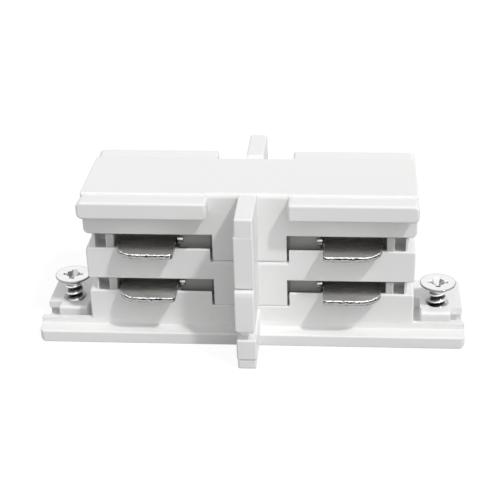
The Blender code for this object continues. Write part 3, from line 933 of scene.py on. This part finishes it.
def cut_cross(head, span, width, depth):
    """Cuts a cross recess into the top of a screw's head, which is at Z 0: two wings and a round middle."""
    rise = depth / 2
    foot_length, foot_width = 0.25, 0.35
    middle_share = 0.62
    wings = [round_bar("cross_middle", 0, span * foot_length, (-depth, rise), span * middle_share)]
    for turn in (0, 1):
        wing = block("cross", (-span, span), (-width, width), (-depth, rise))
        for vertex in wing.data.vertices:
            if vertex.co.z < 0:
                vertex.co.x *= foot_length
                vertex.co.y *= foot_width
        if turn:
            wing.rotation_euler.z = math.radians(90)
            bpy.ops.object.transform_apply(location=True, rotation=True, scale=True)
        wings.append(wing)
    combine(head, "DIFFERENCE", wings)
    round_over(head, rim_round, lambda spot, along: spot.z > -flush and spot.xy.length < span, segments=2)


def place_screw(screw, turn, x, height):
    """Turns a finished screw about X, and stands it in its hole."""
    select_only(screw)
    screw.rotation_euler.x = math.radians(turn)
    screw.location = (x * mm, 0, height * mm)
    bpy.ops.object.transform_apply(location=True, rotation=True, scale=True)
    smooth_off(screw)


def clamp_screw(name, x, top, body, node):
    """A countersunk screw with its head's top face at this height."""
    head = round_bar(name, 0, screw_head, (-head_rim, 0))
    tall = (-head_rim - head_cone, -head_rim + flush)
    cone = round_bar("head_cone", 0, screw_thread["root"], tall, screw_head - rim_bevel)
    combine(head, "UNION", (cone,))
    round_over(head, rim_round, lambda spot, along: spot.xy.length > screw_head - flush)
    cut_cross(head, **screw_cross)
    shank = threaded_shank(-screw_length, shank_top, **screw_thread)
    combine(head, "UNION", (shank,))
    place_screw(head, 0, x, top)
    dress(head, plated_screw(f"{name}_plating", x, top), body, node)


for place, end in (("left", -1), ("right", 1)):
    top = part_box(f"clamp_screw_{place}")[1].z / mm
    clamp_screw(f"{place}_clamp_screw_plated", end * clamp_x, top, f"{place}_clamp", f"clamp_screw_{place}")

# Assembly screws. Two plated pan-head screws with a cross recess. They go in from below, through all three
# mouldings, and hold the stack together.
pan_rounding = 0.7
pan_height = 1.4
pan_thread = {"crest": 1.1, "root": 0.85, "pitch": 0.9, "point": 1.6}
pan_cross = {"span": 1.5, "width": 0.42, "depth": 1.1}
for place, end in (("left", -1), ("right", 1)):
    node = f"assembly_screw_{place}"
    low, high = (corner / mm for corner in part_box(node))
    pan_radius = (high.x - low.x) / 2
    pan = round_bar(f"{place}_assembly_screw_plated", 0, pan_radius, (-pan_height, 0))
    round_over(pan, pan_rounding, lambda spot, along: spot.z > -flush, segments=5)
    cut_cross(pan, **pan_cross)
    shank = threaded_shank(low.z - high.z, flush - pan_height, **pan_thread)
    combine(pan, "UNION", (shank,))
    place_screw(pan, 180, end * assembly_x, low.z)
    steel = Finish(f"{node}_plating")
    patch = steel.noise(grain=0.8, detail=3.0)
    # Painted shade in the cross recess, darker than the plating round it.
    recess = between(steel.axis("Z") - low.z, 0.06, pan_cross["depth"])
    tone = steel.blend(recess * 0.4 + patch * 0.3, 0.8, 0.2)
    steel.set(Base_Color=tone, Metallic=1.0, Roughness=0.2 + 0.2 * patch)
    dress(pan, steel.material, "connector", node)

# Earth strip. A thin brass strip in a channel of the underside. It joins both clamp screws, which pass
# through it.
earth_brass = Finish("earth_brass")
brass_grain = earth_brass.noise(grain=0.4, detail=4.0, stretch=(0.08, 1, 1))
brass_tone = earth_brass.blend(brass_grain, (0.62, 0.47, 0.22), (0.78, 0.62, 0.33))
earth_brass.set(Base_Color=brass_tone, Metallic=1.0, Roughness=0.25 + 0.2 * brass_grain)
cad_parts["earth_strip"].data.materials.clear()
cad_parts["earth_strip"].data.materials.append(earth_brass.material)

# Stage. A plain pale table top and surround, which show white and keep the object's faint shadow.
bpy.ops.object.select_all(action="DESELECT")
bpy.ops.mesh.primitive_plane_add(size=4)
table_top = bpy.context.object
table_top.name = "table_top"


def seen_directly(finish):
    """1 where the camera, a reflection or a clear piece shows the surface, and 0 where it only lights."""
    names = ("Is Camera Ray", "Is Glossy Ray", "Is Transmission Ray")
    camera_ray, glossy_ray, clear_ray = (finish.node("ShaderNodeLightPath", {}, {}, name) for name in names)
    return (camera_ray + glossy_ray + clear_ray) > 0.5


table = Finish("white_table")
table.set(Base_Color=(0.3, 0.3, 0.3, 1), Roughness=1.0)
table.surface.inputs["Specular IOR Level"].default_value = 0.0
glow_share = 0.86
pale = table.node("ShaderNodeBsdfDiffuse", {}, {"Color": (0.9, 0.9, 0.9, 1)})
glow = table.node("ShaderNodeEmission", {}, {"Color": (1, 1, 1, 1), "Strength": 1.06})
shown = table.node("ShaderNodeMixShader", {}, {0: glow_share, 1: pale, 2: glow})
dull = Signal(table, table.surface.outputs[0])
mixed = table.node("ShaderNodeMixShader", {}, {0: seen_directly(table), 1: dull, 2: shown})
table.feed(table.tree.nodes["Material Output"].inputs["Surface"], mixed)
table_top.data.materials.append(table.material)

surround = Finish("surround", "worlds")
backdrop = surround.tree.nodes["Background"]
backdrop.inputs["Color"].default_value = (1, 1, 1, 1)
surround.feed(backdrop.inputs["Strength"], 0.3 + 0.7 * seen_directly(surround))
bpy.context.scene.world = surround.material
bpy.context.scene.view_settings.view_transform = "Standard"


def sun(name, towards, strength, width):
    """A distant soft lamp."""
    data = bpy.data.lights.new(name, "SUN")
    data.energy = strength
    data.angle = math.radians(width)
    lamp = bpy.data.objects.new(name, data)
    bpy.context.scene.collection.objects.link(lamp)
    lamp.rotation_euler = Vector(towards).to_track_quat("Z", "Y").to_euler()
    return lamp


sun("key_lamp", (0.43, -0.395, 0.812), 1.41, 4)
sun("left_panel", (-0.6, -0.25, 0.76), 0.34, 90)
sun("front_panel", (0.45, -0.77, 0.46), 0.93, 76)
sun("right_panel", (0.95, -0.2, 0.1), 0.45, 80)
sun("back_panel", (-0.1, 0.85, 0.5), 0.32, 90)
highlights = sun("top_panel", (-0.05, -0.02, 1), 0.7, 46)
highlights.visible_diffuse = False

# Camera. It looks down on the front from a little to the right of the middle, from quite near.
focal_pixels = 1233.9
frame_pixels = 500
centre_x = 282.31
centre_y = 263.47
camera_distance = 226.52
camera_height_angle = 0.48869
camera_turn = -0.0629
camera_roll = -0.0143
aim_right = -5.1125
aim_up = -9.5052
sideways = Vector((math.cos(camera_turn), -math.sin(camera_turn), 0))
level_ahead = Vector((math.sin(camera_turn), math.cos(camera_turn), 0))
ahead = level_ahead * math.cos(camera_height_angle) - Vector((0, 0, math.sin(camera_height_angle)))
upward = level_ahead * math.sin(camera_height_angle) + Vector((0, 0, math.cos(camera_height_angle)))
camera_data = bpy.data.cameras.new("photo_camera")
camera_data.sensor_width = 36
camera_data.lens = focal_pixels / frame_pixels * camera_data.sensor_width
camera_data.shift_x = (frame_pixels / 2 - centre_x) / frame_pixels
camera_data.shift_y = (centre_y - frame_pixels / 2) / frame_pixels
camera_data.clip_start = 0.01
camera = bpy.data.objects.new("photo_camera", camera_data)
bpy.context.scene.collection.objects.link(camera)
picture_right = sideways * math.cos(camera_roll) + upward * math.sin(camera_roll)
picture_up = upward * math.cos(camera_roll) - sideways * math.sin(camera_roll)
turned = Matrix((picture_right, picture_up, -ahead)).transposed().to_4x4()
stand = -(sideways * aim_right + upward * aim_up + ahead * camera_distance) * mm
camera.matrix_world = Matrix.Translation(stand) @ turned
bpy.context.scene.camera = camera
